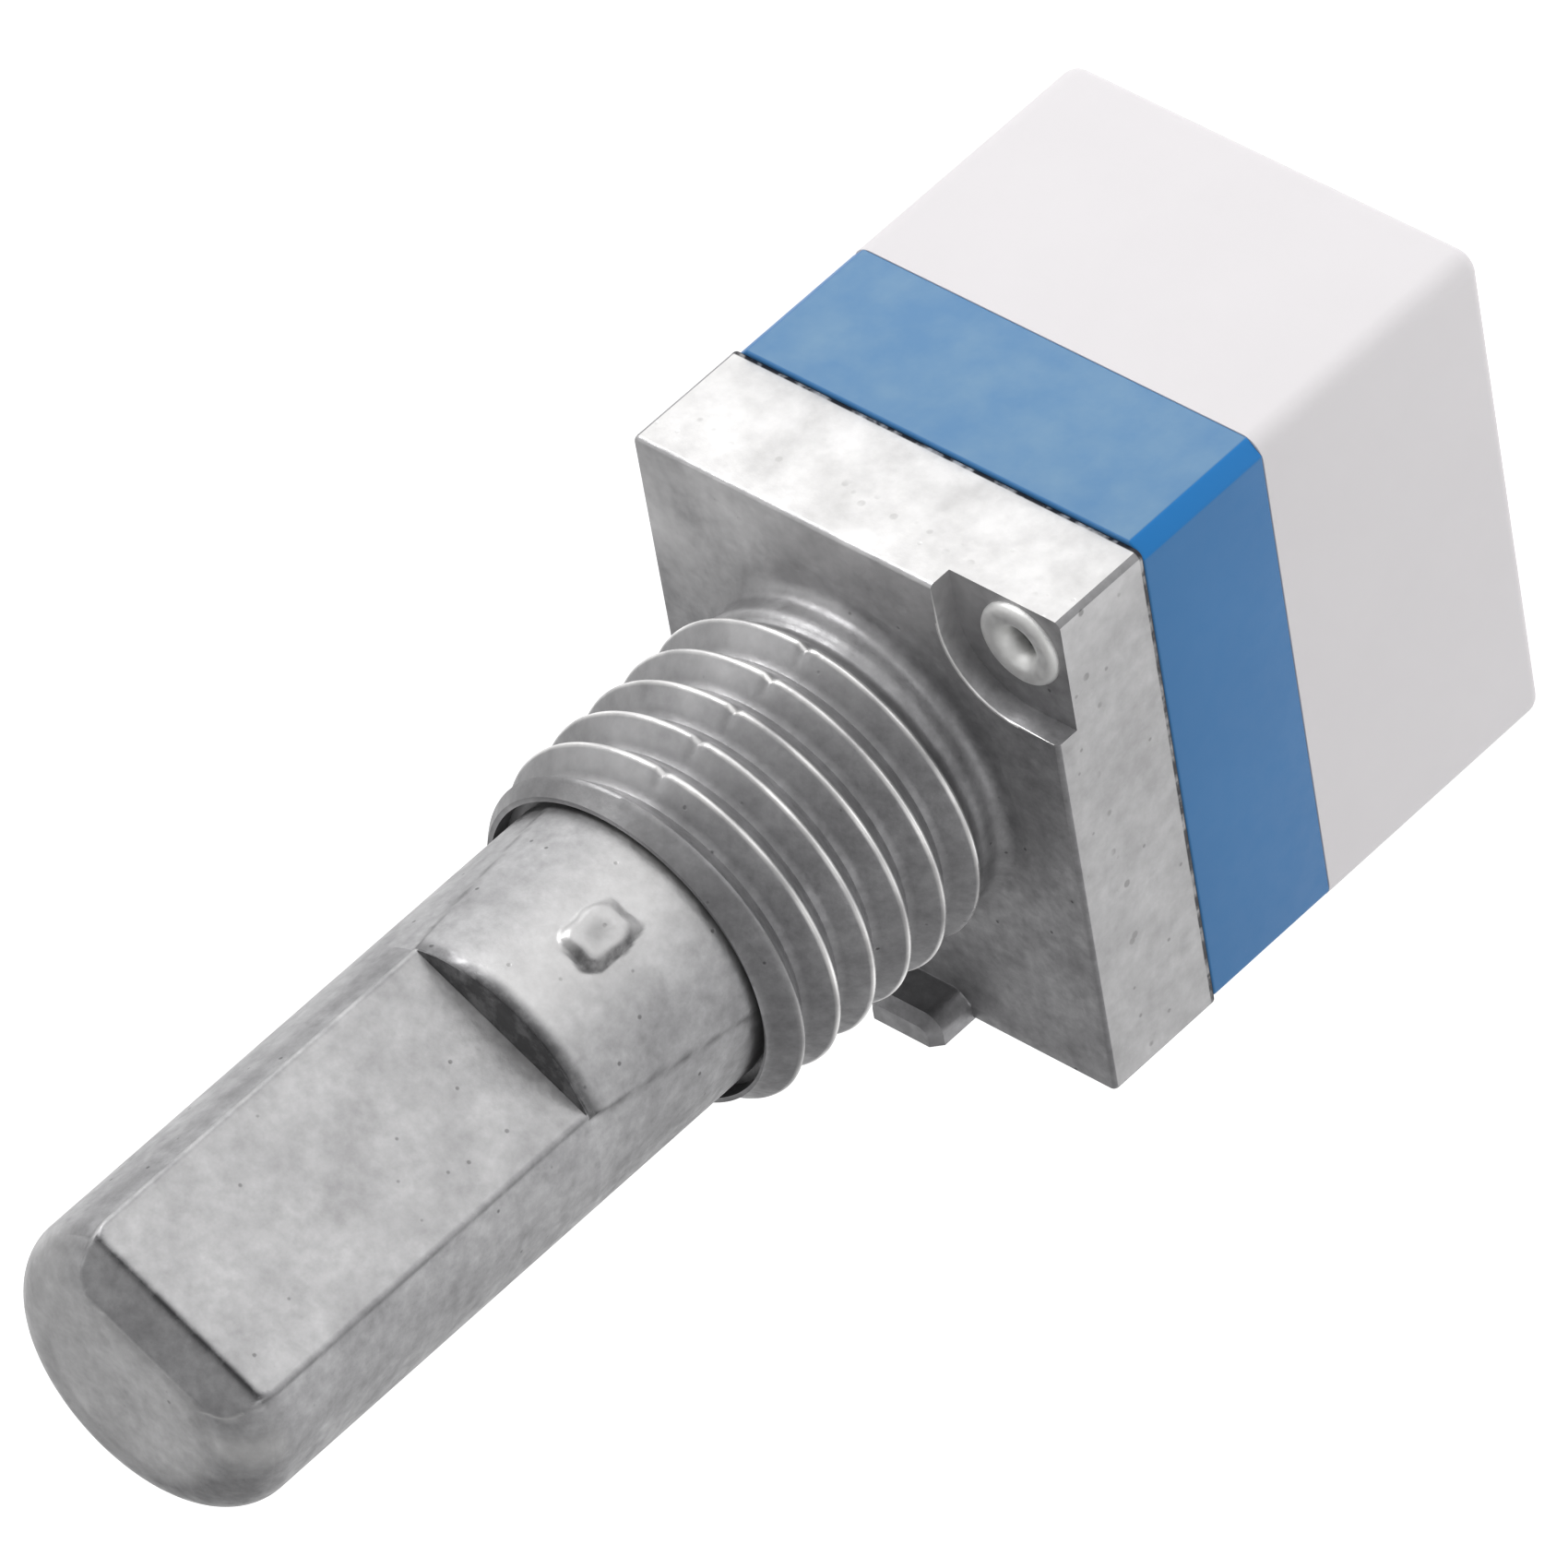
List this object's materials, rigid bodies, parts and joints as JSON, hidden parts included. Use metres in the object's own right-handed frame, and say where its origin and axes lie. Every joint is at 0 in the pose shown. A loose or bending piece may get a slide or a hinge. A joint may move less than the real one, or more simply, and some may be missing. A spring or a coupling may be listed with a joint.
{
  "type": "rotary power switch",
  "caption": "Rotary control with a rear power switch: threaded bushing, D-cut shaft, square three-layer case and pin terminals at the back.",
  "frame": {"origin": "on the shaft axis, in the front face that meets the panel", "axes": "+Z along the shaft towards its tip, +X across the narrow side of the case, +Y across its long side"},
  "size_m": [0.0095, 0.011, 0.0321],
  "materials": {
    "zinc_casting": "matt die-cast zinc",
    "zinc_shaft": "matt die-cast zinc, smoother than the plate",
    "rivet_steel": "bright plated steel",
    "spring_bronze": "satin spring bronze",
    "rotor_plastic": "natural moulded plastic",
    "blue_plastic": "satin moulded plastic",
    "board_laminate": "pressed paper laminate",
    "carbon_film": "printed carbon film",
    "silver_film": "printed silver film",
    "tinned_brass": "tin-plated strip",
    "white_plastic": "satin moulded plastic"
  },
  "bodies": {
    "case": {"front_housing": "zinc_casting", "corner_rivets": "rivet_steel", "wafer_case": "blue_plastic", "element_board": "board_laminate", "resistive_track": "carbon_film", "collector_track": "silver_film", "terminal_start": "tinned_brass", "terminal_wiper": "tinned_brass", "terminal_end": "tinned_brass", "switch_case": "white_plastic", "switch_terminal_common": "tinned_brass", "switch_terminal_load": "tinned_brass", "detent_spring": "spring_bronze"},
    "spindle": {"shaft": "zinc_shaft", "thrust_washer": "spring_bronze", "retaining_clip": "rivet_steel", "wiper_rotor": "rotor_plastic", "wiper_brush": "spring_bronze", "switch_cam": "rotor_plastic", "moving_contact": "spring_bronze", "contact_spring": "spring_bronze"}
  },
  "joints": [
    {"name": "shaft_turn", "type": "hinge", "parent": "case", "child": "spindle", "pos_m": [0, 0, 0], "axis": [0, 0, 1], "range_deg": [-150, 150]}
  ]
}
